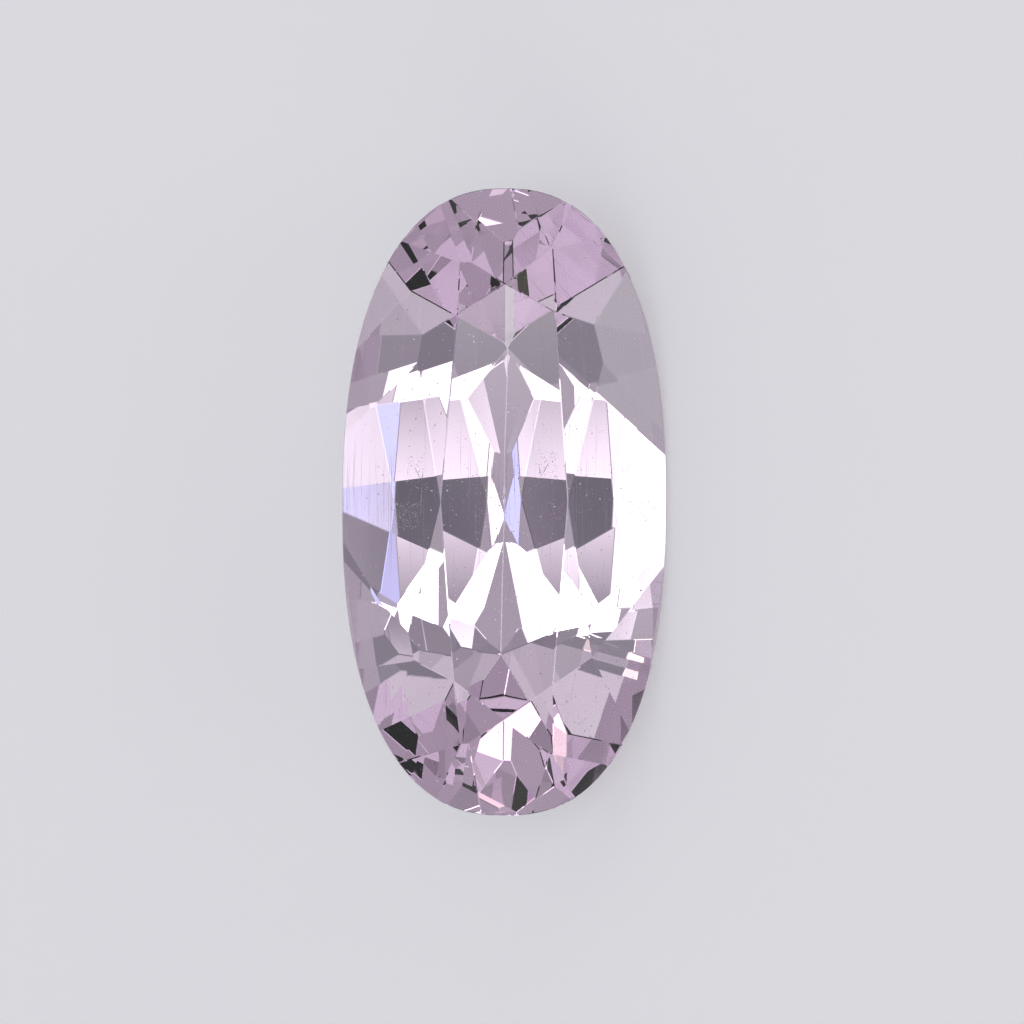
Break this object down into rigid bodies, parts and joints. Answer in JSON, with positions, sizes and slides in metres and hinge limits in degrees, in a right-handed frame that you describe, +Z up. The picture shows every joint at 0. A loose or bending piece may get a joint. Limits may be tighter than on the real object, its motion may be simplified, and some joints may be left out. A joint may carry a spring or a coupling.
{
  "type": "oval brilliant-cut kunzite gem",
  "caption": "Loose oval brilliant-cut kunzite gem with a long keel, pale lilac and clear, lying on one of its pavilion facets.",
  "frame": {"origin": "middle of the footprint, on the surface that the gem lies on", "axes": "+X along the gem's length, +Z up, and the table leans towards -Y"},
  "size_m": [0.012, 0.0048, 0.0043],
  "materials": {
    "kunzite": "clear, polished"
  },
  "bodies": {
    "root": {"kunzite_gem": "kunzite"}
  },
  "joints": []
}
